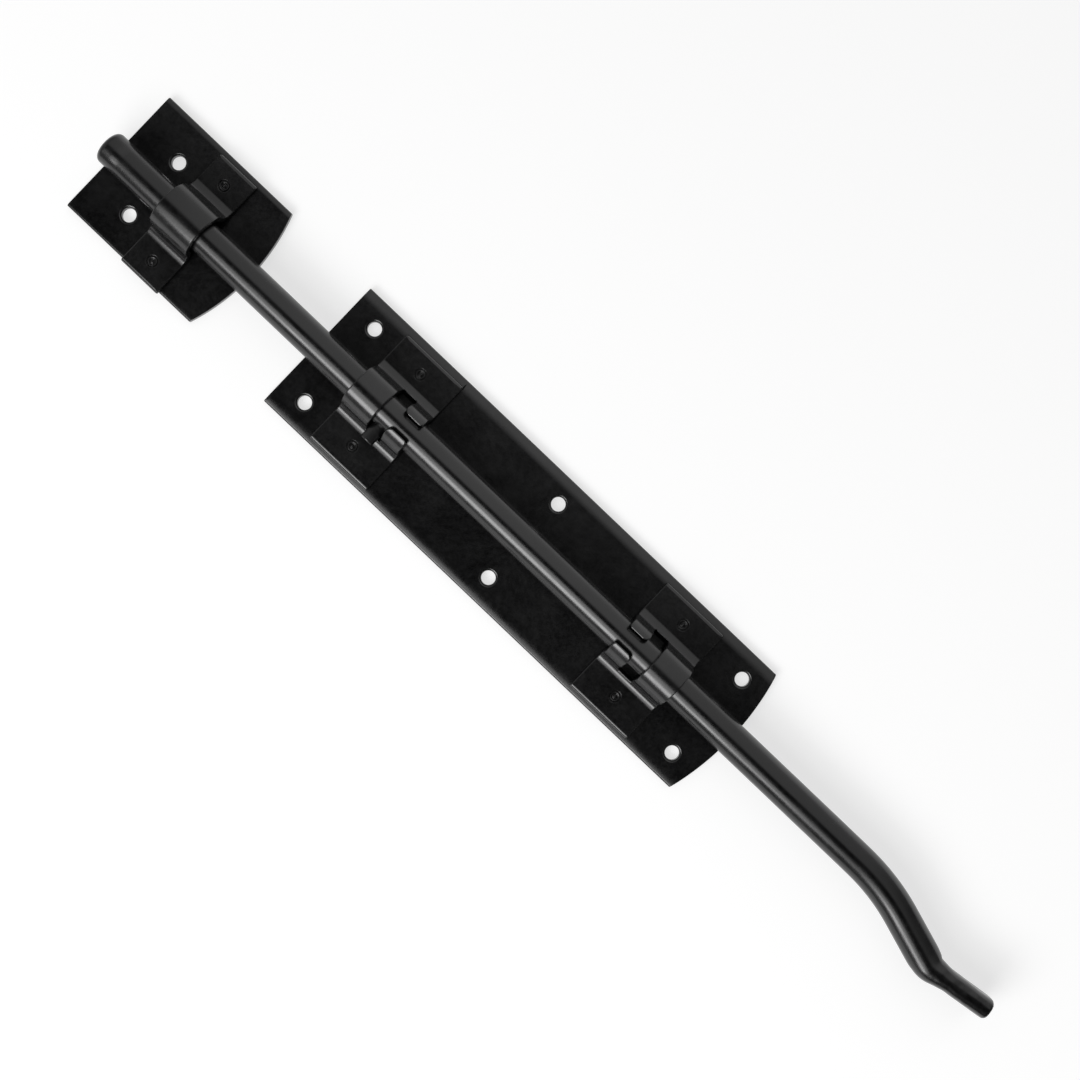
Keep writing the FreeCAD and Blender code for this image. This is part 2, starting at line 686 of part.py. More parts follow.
def export(pieces):
    os.makedirs(PARTS_FOLDER, exist_ok=True)
    for piece in pieces:
        piece.Shape.exportStep(os.path.join(PARTS_FOLDER, piece.Label + ".step"))


pieces = build()
doc.recompute()
check(pieces)
export(pieces)
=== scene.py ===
import json
import math

import bmesh
import bpy
from mathutils import Euler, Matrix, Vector, noise


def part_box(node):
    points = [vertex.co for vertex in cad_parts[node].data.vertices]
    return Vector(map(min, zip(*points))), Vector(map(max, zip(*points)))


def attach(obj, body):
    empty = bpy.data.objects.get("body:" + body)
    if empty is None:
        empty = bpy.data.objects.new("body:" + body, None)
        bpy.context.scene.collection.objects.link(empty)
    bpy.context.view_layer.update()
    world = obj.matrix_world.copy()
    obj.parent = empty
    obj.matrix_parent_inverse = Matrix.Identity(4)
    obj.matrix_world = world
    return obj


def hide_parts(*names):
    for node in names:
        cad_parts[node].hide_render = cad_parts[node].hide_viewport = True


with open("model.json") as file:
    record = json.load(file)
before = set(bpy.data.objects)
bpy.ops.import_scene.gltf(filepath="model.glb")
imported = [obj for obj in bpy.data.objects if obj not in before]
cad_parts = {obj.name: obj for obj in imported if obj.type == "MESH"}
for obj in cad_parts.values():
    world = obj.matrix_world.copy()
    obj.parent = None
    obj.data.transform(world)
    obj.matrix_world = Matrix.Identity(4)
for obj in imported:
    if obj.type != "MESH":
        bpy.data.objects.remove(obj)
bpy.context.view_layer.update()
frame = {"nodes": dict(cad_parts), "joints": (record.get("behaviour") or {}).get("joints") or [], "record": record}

# The meshes are made in millimetres and written in metres.  X runs along the rod towards the tail
# and Z is up from the mounting surface, as in the frame.
MM = 0.001

RECORD = frame["record"]
JOINTS = {joint["name"]: joint for joint in frame["joints"]}
MOUNTS = {mount["name"]: mount for mount in RECORD["mounts"]}
AXIS_HEIGHT = JOINTS["bolt_turn"]["pos_m"][2] / MM


def node_box(node):
    """A CAD node's lowest and highest corner, in millimetres."""
    low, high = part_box(node)
    return [value / MM for value in low], [value / MM for value in high]


def node_centre(node):
    low, high = node_box(node)
    return [(a + b) / 2 for a, b in zip(low, high)]


def blend(value, low, high):
    """A smooth step from 0 at low to 1 at high."""
    share = min(1.0, max(0.0, (value - low) / (high - low)))
    return share * share * (3 - 2 * share)


# ---------------------------------------------------------------- outlines


def arc_points(centre, radius, start, end, count):
    """Points along an arc, from one angle to another, in radians."""
    steps = [start + (end - start) * number / count for number in range(count + 1)]
    return [(centre[0] + radius * math.cos(a), centre[1] + radius * math.sin(a)) for a in steps]


def circle(centre, radius, count=64):
    return arc_points(centre, radius, 0, 2 * math.pi, count)[:-1]


def rounded(corners, arc_steps=8):
    """An outline through corners given as (x, y, radius), each rounded by its radius."""
    points = []
    for number, (x, y, radius) in enumerate(corners):
        here = Vector((x, y))
        if radius == 0:
            points.append((x, y))
            continue
        before = (Vector(corners[number - 1][:2]) - here).normalized()
        after = (Vector(corners[(number + 1) % len(corners)][:2]) - here).normalized()
        half = before.angle(after) / 2
        centre = here + (before + after).normalized() * radius / math.sin(half)
        first = here + before * radius / math.tan(half) - centre
        last = here + after * radius / math.tan(half) - centre
        start = math.atan2(first.y, first.x)
        turn = math.atan2(last.y, last.x) - start
        turn = (turn + math.pi) % (2 * math.pi) - math.pi
        points += arc_points(centre, radius, start, start + turn, arc_steps)
    return points


# ---------------------------------------------------------------- meshes

# Edges sharper than the first angle can be rounded, those sharper than the second are shaded as
# sharp, and an outward edge of the third counts in full as an edge of the paint.  Points closer
# than the weld, in millimetres, are joined.
SOFTEN_ANGLE = math.radians(30)
SHARP_ANGLE = math.radians(38)
FULL_EDGE_ANGLE = math.radians(20)
WELD = 0.002


def flat_blank(outline, holes, thick):
    """A flat sheet of metal, lying on Z = 0."""
    bm = bmesh.new()
    for points in [outline] + holes:
        verts = [bm.verts.new((x, y, 0)) for x, y in points]
        for first, second in zip(verts, verts[1:] + verts[:1]):
            bm.edges.new((first, second))
    bmesh.ops.triangle_fill(bm, use_beauty=True, edges=bm.edges[:])
    bmesh.ops.dissolve_limit(bm, angle_limit=0.001, verts=bm.verts[:], edges=bm.edges[:])
    raised = bmesh.ops.extrude_face_region(bm, geom=bm.faces[:])
    top = [item for item in raised["geom"] if isinstance(item, bmesh.types.BMVert)]
    bmesh.ops.translate(bm, verts=top, vec=(0, 0, thick))
    bmesh.ops.recalc_face_normals(bm, faces=bm.faces[:])
    return bm


def soften(bm, radius, segments, pick):
    """Round the sharp edges that pick chooses by their middle."""
    edges = [edge for edge in bm.edges if edge.is_manifold
             and edge.calc_face_angle() > SOFTEN_ANGLE
             and pick((edge.verts[0].co + edge.verts[1].co) / 2)]
    bmesh.ops.bevel(bm, geom=edges, offset=radius, offset_type="OFFSET", segments=segments,
                    profile=0.5, affect="EDGES", clamp_overlap=False)


def near(point, centre, radius, slack=0.2):
    return abs(math.hypot(point.x - centre[0], point.y - centre[1]) - radius) < slack


def skin(rings):
    """A closed skin over rings of points, with a flat fan at each end."""
    bm = bmesh.new()
    loops = [[bm.verts.new(point) for point in ring] for ring in rings]
    count = len(loops[0])
    for ring, following in zip(loops, loops[1:]):
        for number in range(count):
            after = (number + 1) % count
            bm.faces.new((ring[number], ring[after], following[after], following[number]))
    for ring in (loops[0], loops[-1]):
        middle = bm.verts.new(sum((vert.co for vert in ring), Vector()) / count)
        for number in range(count):
            bm.faces.new((ring[number], ring[(number + 1) % count], middle))
    bmesh.ops.recalc_face_normals(bm, faces=bm.faces[:])
    return bm


def turned(profile, place, count=96):
    """A turned piece.  The profile is a list of (distance along the axis, radius), and place
    puts (along, across, up) in the frame."""
    rings = []
    for along, radius in profile:
        rings.append([place(along, radius * math.cos(a), radius * math.sin(a))
                      for a in (2 * math.pi * number / count for number in range(count))])
    return skin(rings)


def mark_edges(mesh):
    """Give each point a value from 0 to 1 for how sharply the surface turns outwards there."""
    bm = bmesh.new()
    bm.from_mesh(mesh)
    values = []
    for vert in bm.verts:
        turn = 0.0
        for edge in vert.link_edges:
            if edge.is_manifold and edge.is_convex:
                turn = max(turn, edge.calc_face_angle())
        values.append(min(1.0, turn / FULL_EDGE_ANGLE))
    bm.free()
    attribute = mesh.attributes.new("edge", "FLOAT", "POINT")
    attribute.data.foreach_set("value", values)


def finish_piece(bm, node, body, material):
    """Turn a mesh in millimetres into the piece that stands for a CAD node."""
    name = node + "_mesh"
    bmesh.ops.remove_doubles(bm, verts=bm.verts[:], dist=WELD)
    bmesh.ops.scale(bm, vec=(MM, MM, MM), verts=bm.verts[:])
    mesh = bpy.data.meshes.new(name)
    bm.to_mesh(mesh)
    bm.free()
    mark_edges(mesh)
    mesh.shade_smooth()
    mesh.set_sharp_from_angle(angle=SHARP_ANGLE)
    piece = bpy.data.objects.new(name, mesh)
    bpy.context.scene.collection.objects.link(piece)
    weighted = piece.modifiers.new("flat_faces", "WEIGHTED_NORMAL")
    weighted.keep_sharp = True
    mesh.materials.append(material)
    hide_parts(node)
    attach(piece, body)


# ---------------------------------------------------------------- materials


class Nodes:
    """Short calls for building a material's node tree."""

    def __init__(self, name):
        self.material = bpy.data.materials.new(name)
        self.material.use_nodes = True
        self.tree = self.material.node_tree
        self.shader = self.tree.nodes["Principled BSDF"]
        coordinates = self.tree.nodes.new("ShaderNodeTexCoord")
        self.place = coordinates.outputs["Object"]

    def link(self, output, socket):
        self.tree.links.new(output, socket)

    def noise(self, per_metre, detail=3.0, rough=0.5, stretch=None):
        texture = self.tree.nodes.new("ShaderNodeTexNoise")
        texture.inputs["Scale"].default_value = per_metre
        texture.inputs["Detail"].default_value = detail
        texture.inputs["Roughness"].default_value = rough
        place = self.place
        if stretch:
            mapping = self.tree.nodes.new("ShaderNodeMapping")
            mapping.inputs["Scale"].default_value = stretch
            self.link(place, mapping.inputs["Vector"])
            place = mapping.outputs["Vector"]
        self.link(place, texture.inputs["Vector"])
        return texture.outputs["Fac"]

    def specks(self, per_metre, size):
        """Small round spots, from 0 around them to 1 in their middle."""
        texture = self.tree.nodes.new("ShaderNodeTexVoronoi")
        texture.inputs["Scale"].default_value = per_metre
        self.link(self.place, texture.inputs["Vector"])
        return self.span(texture.outputs["Distance"], size, 0.0, 0.0, 1.0)

    def span(self, value, low, high, to_low, to_high):
        node = self.tree.nodes.new("ShaderNodeMapRange")
        node.inputs["From Min"].default_value = low
        node.inputs["From Max"].default_value = high
        node.inputs["To Min"].default_value = to_low
        node.inputs["To Max"].default_value = to_high
        self.link(value, node.inputs["Value"])
        return node.outputs["Result"]

    def maths(self, operation, first, second):
        node = self.tree.nodes.new("ShaderNodeMath")
        node.operation = operation
        for socket, value in zip(node.inputs, (first, second)):
            if isinstance(value, (int, float)):
                socket.default_value = value
            else:
                self.link(value, socket)
        return node.outputs["Value"]

    def mix(self, factor, first, second):
        node = self.tree.nodes.new("ShaderNodeMix")
        node.data_type = "RGBA"
        self.link(factor, node.inputs["Factor"])
        for socket, colour in ((node.inputs["A"], first), (node.inputs["B"], second)):
            if isinstance(colour, tuple):
                socket.default_value = (*colour, 1)
            else:
                self.link(colour, socket)
        return node.outputs["Result"]

    def edge(self):
        node = self.tree.nodes.new("ShaderNodeAttribute")
        node.attribute_name = "edge"
        return node.outputs["Fac"]

    def bump(self, height, distance, strength=1.0, normal=None):
        node = self.tree.nodes.new("ShaderNodeBump")
        node.inputs["Distance"].default_value = distance
        node.inputs["Strength"].default_value = strength
        self.link(height, node.inputs["Height"])
        if normal:
            self.link(normal, node.inputs["Normal"])
        return node.outputs["Normal"]


def powder_coat(name, colour, roughness, peel, specks, drawn=False):
    """Black powder coat: an orange-peel skin, patches of slightly duller paint, dust nibs under
    the paint, and a lighter tone along the outward edges, partly thinner paint and partly a painted
    highlight.  On drawn bar the film also follows faint lines along the rod."""
    nodes = Nodes(name)
    shader = nodes.shader
    patches = nodes.noise(55, detail=4, rough=0.6)
    mottle = nodes.noise(420, detail=5, rough=0.65)
    edge = nodes.edge()

    pale = tuple(value * 2.1 for value in colour)
    dark = tuple(value * 0.75 for value in colour)
    # Lighter colour for the outward edges: partly thinner paint, partly a painted highlight.
    edge_film_and_sheen = tuple(value * 3 + 0.004 for value in colour)
    body = nodes.mix(nodes.span(mottle, 0.35, 0.7, 0, 1), dark, pale)
    # Where the painted edge highlight goes: the edge value, broken up by noise.
    edge_sheen_mask = nodes.maths("MULTIPLY", edge, nodes.span(nodes.noise(900), 0.42, 0.62, 0.15, 0.8))
    painted = nodes.mix(edge_sheen_mask, body, edge_film_and_sheen)
    nib = nodes.specks(150, 0.055)
    rare = nodes.span(nodes.noise(120, detail=1), 0.6, 0.66, 0, specks)
    spots = nodes.maths("MULTIPLY", nib, rare)
    spotted = nodes.mix(spots, painted, tuple(value + 0.03 for value in colour))
    nodes.link(spotted, shader.inputs["Base Color"])

    rough = nodes.maths("ADD", nodes.span(patches, 0.3, 0.7, -0.035, 0.045), roughness)
    rough = nodes.maths("ADD", rough, nodes.span(mottle, 0.3, 0.7, -0.02, 0.03))
    nodes.link(rough, shader.inputs["Roughness"])
    shader.inputs["Specular IOR Level"].default_value = 0.62

    skin_height = nodes.noise(1100, detail=2, rough=0.45)
    normal = nodes.bump(skin_height, peel)
    normal = nodes.bump(patches, peel * 1.5, normal=normal)
    if drawn:
        lines = nodes.noise(700, detail=2, stretch=(0.02, 1, 1))
        normal = nodes.bump(lines, peel * 0.8, normal=normal)
    normal = nodes.bump(spots, 0.00012, normal=normal)
    nodes.link(normal, shader.inputs["Normal"])
    return nodes.material


PLATE_PAINT = powder_coat("plate_powder_coat", (0.0020, 0.0020, 0.0021), 0.19, 0.000005, 0.9)
STRAP_PAINT = powder_coat("strap_powder_coat", (0.0020, 0.0020, 0.0021), 0.21, 0.000005, 0.5)
RIVET_PAINT = powder_coat("rivet_powder_coat", (0.0018, 0.0018, 0.0019), 0.22, 0.000005, 0.4)
ROD_PAINT = powder_coat("rod_powder_coat", (0.0016, 0.0016, 0.0017), 0.22, 0.000003, 0.35,
                        drawn=True)
PIN_PAINT = powder_coat("pin_powder_coat", (0.0016, 0.0016, 0.0017), 0.32, 0.000004, 0.3)


# ---------------------------------------------------------------- plates

PLATE_ROUND = 0.8
SHEARED_EDGE = 0.22
HOLE_MOUTH = 1.05
FALL_STEP = 0.5
RIVET_RADIUS = 2.4


def pattern_holes(mount):
    """Centres of the holes of a bolt pattern, in millimetres."""
    dims = mount["dims"]
    x, y = (value / MM for value in mount["pos_m"][:2])
    across = dims.get("spacing_y_mm", 0) / 2
    along = dims.get("spacing_x_mm", 0) / 2
    ends = (-along, along) if along else (0,)
    return [(x + end, y + side) for end in ends for side in (-across, across)]


def crowned_outline(low, high, crown):
    """A bar with a straight end at the left and a shallow arc at the right."""
    half = (high[1] - low[1]) / 2
    radius = (half * half + crown * crown) / (2 * crown)
    centre = (high[0] - radius, (low[1] + high[1]) / 2)
    reach = math.asin(half / radius)
    return [(low[0], high[1]), (low[0], low[1])] + arc_points(centre, radius, -reach, reach, 48)


def roll_edges(bm, low, high, thick, reach, fall):
    """Let the top fall away a little towards both long edges, as on rolled bar."""
    for number in range(1, int(reach / FALL_STEP) + 1):
        for y in (low[1] + number * FALL_STEP, high[1] - number * FALL_STEP):
            geometry = bm.verts[:] + bm.edges[:] + bm.faces[:]
            bmesh.ops.bisect_plane(bm, geom=geometry, plane_co=(0, y, 0), plane_no=(0, 1, 0),
                                   dist=0.001)
    for vert in bm.verts:
        inside = min(vert.co.y - low[1], high[1] - vert.co.y)
        if inside < reach:
            drop = fall * ((reach - inside) / reach) ** 2.2
            vert.co.z -= drop * vert.co.z / thick


def make_plate(node, body, crown, mounts, reach, fall):
    """A plate with its screw and rivet holes.  crown is the rise of its curved end, and its top
    falls away by fall over a band of the given reach along both long edges."""
    low, high = node_box(node)
    thick = high[2] - low[2]
    rivets = [name for name in frame["nodes"] if "rivet" in name
              and low[0] < node_centre(name)[0] < high[0]]
    screw_holes = [centre for mount in mounts for centre in pattern_holes(MOUNTS[mount])]
    screw_radius = MOUNTS[mounts[0]]["dims"]["hole_r_mm"]
    rivet_holes = [node_centre(name)[:2] for name in rivets]
    holes = [circle(centre, screw_radius) for centre in screw_holes]
    holes += [circle(centre, RIVET_RADIUS) for centre in rivet_holes]
    bm = flat_blank(crowned_outline(low, high, crown), holes, thick)

    def on_long_edge(point):
        outer = min(abs(point.y - low[1]), abs(point.y - high[1])) < 0.05
        return outer and point.z > thick - 0.01 and point.x < high[0] - crown

    def on_screw_mouth(point):
        return point.z > thick - 0.01 and any(near(point, c, screw_radius) for c in screw_holes)

    def on_outer_edge(point):
        return not any(near(point, c, RIVET_RADIUS, 0.9) for c in screw_holes + rivet_holes)

    soften(bm, HOLE_MOUTH, 5, on_screw_mouth)
    soften(bm, PLATE_ROUND, 5, on_long_edge)
    soften(bm, SHEARED_EDGE, 3, on_outer_edge)
    roll_edges(bm, low, high, thick, reach, fall)
    bmesh.ops.translate(bm, verts=bm.verts[:], vec=(0, 0, low[2]))
    finish_piece(bm, node, body, PLATE_PAINT)


# ---------------------------------------------------------------- straps

STRAP_BEND = 4.6
STRAP_EDGE = 0.55
FLANGE_ROUND = 1.5
BEND_CUT = 0.55
SLOT_HALF = 3.5
SLOT_CORNER = 0.7
ARCH_LENGTH = 14.2
TIP_INNER_ROUND = 2.4
TIP_OUTER_ROUND = 1.2
RIVET_MOUTH = 0.2
STRAP_THICK = 2.4
KEEPER_STRAP_THICK = 2.5
TIP_REACHES = (3.4, 4.7)


class Bend:
    """The bent shape of a strap: flange, bend, wall and arch, the same on both sides."""

    def __init__(self, floor, thick, outer):
        self.floor, self.thick, self.outer = floor, thick, outer
        self.arch = outer - thick / 2
        self.curve = STRAP_BEND + thick / 2
        self.curve_height = floor + thick + STRAP_BEND
        self.curve_reach = outer + STRAP_BEND
        self.arch_end = self.arch * math.pi / 2
        self.wall_end = self.arch_end + AXIS_HEIGHT - self.curve_height
        self.curve_end = self.wall_end + self.curve * math.pi / 2

    def flat_reach(self, reach):
        """How far from the blank's middle a flange end that reaches so far lies."""
        return self.curve_end + reach - self.curve_reach

    def place(self, along, height):
        """Where a point of the blank goes, as (y, z)."""
        side = -1 if along < 0 else 1
        along = abs(along)
        lift = height - self.thick / 2
        if along <= self.arch_end:
            angle = along / self.arch
            radius = self.arch + lift
            y, z = radius * math.sin(angle), AXIS_HEIGHT + radius * math.cos(angle)
        elif along <= self.wall_end:
            y, z = self.arch + lift, AXIS_HEIGHT - (along - self.arch_end)
        elif along <= self.curve_end:
            angle = (along - self.wall_end) / self.curve
            radius = self.curve - lift
            y = self.curve_reach - radius * math.cos(angle)
            z = self.curve_height - radius * math.sin(angle)
        else:
            y, z = self.curve_reach + along - self.curve_end, self.floor + height
        return side * y, z


def bend_blank(bm, bend):
    """Slice a blank finely across its bends and lay it over the rod."""
    slices = [0.0]
    for start, end in ((0.0, bend.arch_end), (bend.wall_end, bend.curve_end)):
        count = math.ceil((end - start) / BEND_CUT)
        slices += [start + (end - start) * number / count for number in range(1, count + 1)]
    for distance in slices:
        for side in (-1, 1):
            geometry = bm.verts[:] + bm.edges[:] + bm.faces[:]
            bmesh.ops.bisect_plane(bm, geom=geometry, plane_co=(0, side * distance, 0),
                                   plane_no=(0, 1, 0), dist=0.001)
    for vert in bm.verts:
        y, z = bend.place(vert.co.y, vert.co.z)
        vert.co = Vector((vert.co.x, y, z))


def strap_shape(node, thick):
    """A strap's box, its bent shape, and where its flanges' ends lie on the flat blank."""
    low, high = node_box(node)
    bend = Bend(low[2], thick, high[2] - AXIS_HEIGHT)
    return low, high, bend, -bend.flat_reach(-low[1]), bend.flat_reach(high[1])


def lean_tips(bm, bend, tips):
    """Lean the ends of the fingers so that they stand upright once bent.  The tips are lists of
    (side of the rod, distance from its axis, where the finger starts along X, its direction)."""
    for vert in bm.verts:
        for side, distance, start, direction in tips:
            if (vert.co.x - start) * direction < -0.01 or vert.co.y * side <= 0:
                continue
            middle = bend.arch * math.asin(distance / bend.arch)
            radius = bend.arch + vert.co.z - bend.thick / 2
            upright = bend.arch * math.asin(distance / radius)
            fade = 1 - blend(vert.co.y * side, middle + 1, bend.arch_end)
            vert.co.y += side * (upright - middle) * fade


def strap_rivet_centres(node, bend):
    """Where a strap's rivets lie on its flat blank."""
    centres = []
    for name in frame["nodes"]:
        if name.startswith(node.split("_")[0] + "_rivet"):
            x, y, _ = node_centre(name)
            centres.append((x, math.copysign(bend.flat_reach(abs(y)), y)))
    return centres


def finish_strap(bm, node, body, bend, ends, tips=()):
    """Round a strap's edges, bend it and hand it over."""
    low_end, high_end = ends
    centres = strap_rivet_centres(node, bend)

    def on_flange_end(point):
        outer = min(abs(point.y - low_end), abs(point.y - high_end)) < 0.02
        return outer and point.z > bend.thick - 0.01

    def on_outer_edge(point):
        return not any(near(point, centre, RIVET_RADIUS) for centre in centres)

    def on_rivet_mouth(point):
        return point.z > bend.thick - 0.01 and not on_outer_edge(point)

    soften(bm, FLANGE_ROUND, 5, on_flange_end)
    soften(bm, STRAP_EDGE, 3, on_outer_edge)
    soften(bm, RIVET_MOUTH, 3, on_rivet_mouth)
    lean_tips(bm, bend, tips)
    bend_blank(bm, bend)
    finish_piece(bm, node, body, STRAP_PAINT)


def strap_rivet_holes(node, bend):
    return [circle(centre, RIVET_RADIUS, 48) for centre in strap_rivet_centres(node, bend)]


def make_gated_strap(node, fingers):
    """A strap with a slot across its arch and a gate between two fingers, which lie towards +X
    of the arch if fingers is 1 and towards -X if it is -1.  The tip reaches are the fingers'
    distances from the rod's axis, on the -Y side and on the +Y side."""
    low, high, bend, low_end, high_end = strap_shape(node, STRAP_THICK)
    arch_side, finger_side = (low[0], high[0]) if fingers > 0 else (high[0], low[0])
    slot_start = arch_side + ARCH_LENGTH * fingers
    slot_end = slot_start + 2 * SLOT_HALF * fingers
    slot_reach = (bend.wall_end + bend.curve_end) / 2
    right_tip, left_tip = (bend.arch * math.asin(reach / bend.arch) for reach in TIP_REACHES)
    outline = rounded([
        (arch_side, low_end, 0),
        (finger_side, low_end, 0),
        (finger_side, -right_tip, TIP_OUTER_ROUND),
        (slot_end, -right_tip, TIP_INNER_ROUND),
        (slot_end, -slot_reach, SLOT_CORNER),
        (slot_start, -slot_reach, SLOT_CORNER),
        (slot_start, slot_reach, SLOT_CORNER),
        (slot_end, slot_reach, SLOT_CORNER),
        (slot_end, left_tip, TIP_INNER_ROUND),
        (finger_side, left_tip, TIP_OUTER_ROUND),
        (finger_side, high_end, 0),
        (arch_side, high_end, 0),
    ])
    bm = flat_blank(outline, strap_rivet_holes(node, bend), STRAP_THICK)
    tips = [(side, reach, slot_end, fingers) for side, reach in zip((-1, 1), TIP_REACHES)]
    finish_strap(bm, node, "base", bend, (low_end, high_end), tips)


def make_keeper_strap(node):
    low, high, bend, low_end, high_end = strap_shape(node, KEEPER_STRAP_THICK)
    outline = [(low[0], low_end), (high[0], low_end), (high[0], high_end), (low[0], high_end)]
    bm = flat_blank(outline, strap_rivet_holes(node, bend), KEEPER_STRAP_THICK)
    finish_strap(bm, node, "keeper", bend, (low_end, high_end))


# ---------------------------------------------------------------- rivets and pin


RIVET_HEAD_DEPTH = 1.5
RIVET_GROOVE = 0.6
# The rounded lip between the groove and the dish: (depth below the end, distance inside the hole).
RIVET_LIP = [(RIVET_GROOVE, 0.02), (RIVET_GROOVE, 0.35), (0.25, 0.42), (0.06, 0.55), (0.01, 0.75)]
RIVET_DISH_INSET = 0.85
RIVET_DISH = 0.5


def make_rivet(node, body):
    """A flush rivet: a groove round its end, and a dish with a raised middle, left by the
    peening tool."""
    low, high = node_box(node)
    x, y, _ = node_centre(node)
    top = high[2]
    head = (high[0] - low[0]) / 2
    profile = [(low[2], head - 0.15), (low[2] + 0.1, head),
               (RIVET_HEAD_DEPTH, RIVET_RADIUS + 0.02)]
    profile += [(top - depth, RIVET_RADIUS - inset) for depth, inset in RIVET_LIP]
    steps = 14
    rim = RIVET_RADIUS - RIVET_DISH_INSET
    for number in range(1, steps):
        share = number / steps
        wave = 2 * math.pi * min(1, share * 1.25) ** 0.9
        dish = RIVET_DISH * (1 - math.cos(wave)) / 2
        profile.append((top - 0.02 - dish, rim * (1 - share)))

    def place(along, across, up):
        return Vector((x + across, y + up, along))

    finish_piece(turned(profile, place, 48), node, body, RIVET_PAINT)


def rounded_end(face, radius, rounding, inwards, steps=8):
    """The profile of a flat end with a rounded rim, from its face to its full radius."""
    points = []
    for number in range(steps + 1):
        angle = math.pi / 2 * number / steps
        points.append((face + inwards * rounding * (1 - math.cos(angle)),
                       radius - rounding + rounding * math.sin(angle)))
    return points


PIN_ROUND = 0.55
PIN_DIMPLE = 0.12


def make_pin(node):
    """The stop pin, with a rounded rim and a shallow dimple in its outer end."""
    low, high = node_box(node)
    x = (low[0] + high[0]) / 2
    radius = (high[0] - low[0]) / 2
    profile = rounded_end(low[1], radius, PIN_ROUND, 1, 6) + [(high[1], radius)]
    profile.insert(0, (low[1] + PIN_DIMPLE, radius * 0.35))

    def place(along, across, up):
        return Vector((x + across, along, AXIS_HEIGHT + up))

    finish_piece(turned(profile, place, 64), node, "rod_rear", PIN_PAINT)


# ---------------------------------------------------------------- rod

ROD_RADIUS = 6.8
FLARE_LENGTH = 5.5
FLARE_BLEND = 5.0
FLARE_ROUND = 2.2
TAIL_BEND_START = 180.2
TAIL_BEND_RADIUS = 88.0
TAIL_TURN = math.radians(-17.5)
TAIL_SLANT = 20.7
TAIL_EASE = 6.0
KINK_LENGTH = 3.9
BLADE_HEADING = math.radians(7.5)
FORGE_START = 3.8
FORGE_END = 16.0
BLADE_THICK = (9.3, 8.75)
BLADE_TALL = (15.0, 15.5)
BLADE_SQUARENESS = 2.9
BLADE_END_ROUND = 0.9
BLADE_END_LEAN = 0.62
# How uneven the forging left the blade: (waves per millimetre, height), and how much lower the
# surface lies on the whole.
FORGE_WAVES = [(0.22, 0.16), (0.6, 0.06)]
FORGE_LOSS = 0.1


def make_rod_front(node):
    """The rod's front length: an upset tip with a rounded end, then round bar."""
    low, high = node_box(node)
    flare = (high[1] - low[1]) / 2
    profile = rounded_end(low[0], flare, FLARE_ROUND, 1)
    full = low[0] + FLARE_LENGTH
    steps = 8
    for number in range(steps + 1):
        share = number / steps
        profile.append((full + FLARE_BLEND * share,
                        flare + (ROD_RADIUS - flare) * blend(share, 0, 1)))
    start = profile[-1][0]
    profile += [(start + (high[0] - start) * number / 12, ROD_RADIUS) for number in range(1, 13)]

    def place(along, across, up):
        return Vector((along, across, AXIS_HEIGHT + up))

    finish_piece(turned(profile, place), node, "rod_front", ROD_PAINT)


def tail_route(start, end):
    """Stations along the rod's rear length: place, heading, and distance past the slanted
    part's end.  The route is straight, bends, runs straight, and turns back at the kink."""
    bend_length = TAIL_BEND_RADIUS * -TAIL_TURN
    kink_start = (TAIL_BEND_START - start) + bend_length + TAIL_SLANT
    place, heading, travelled = Vector((start, 0)), 0.0, 0.0
    route = []
    while place.x < end - BLADE_END_LEAN - 0.01:
        route.append((place.copy(), heading, travelled - kink_start))
        if place.x < TAIL_BEND_START - TAIL_EASE:
            step, turn = min(8.0, TAIL_BEND_START - TAIL_EASE + 0.1 - place.x), 0.0
        elif heading > TAIL_TURN and travelled < kink_start - TAIL_SLANT:
            step = 1.0
            eased = blend(place.x, TAIL_BEND_START - TAIL_EASE, TAIL_BEND_START + TAIL_EASE)
            turn = -eased * step / TAIL_BEND_RADIUS
        elif travelled < kink_start:
            step, turn = 0.5, min(0.0, max(TAIL_TURN - heading, -0.5 / TAIL_BEND_RADIUS))
        elif heading < BLADE_HEADING:
            step = 0.25
            turn = min((BLADE_HEADING - TAIL_TURN) * step / KINK_LENGTH, BLADE_HEADING - heading)
        else:
            step, turn = min(0.5, (end - BLADE_END_LEAN - place.x) / math.cos(heading)), 0.0
        middle = heading + turn / 2
        place += Vector((math.cos(middle), math.sin(middle))) * step
        heading += turn
        travelled += step
    route.append((place.copy(), heading, travelled - kink_start))
    return route


def superellipse(angle, half_wide, half_tall, squareness):
    """A point of a section that is round at squareness 2 and squarer above it."""
    power = 2 / squareness
    c, s = math.cos(angle), math.sin(angle)
    return (math.copysign(abs(c) ** power, c) * half_wide,
            math.copysign(abs(s) ** power, s) * half_tall)


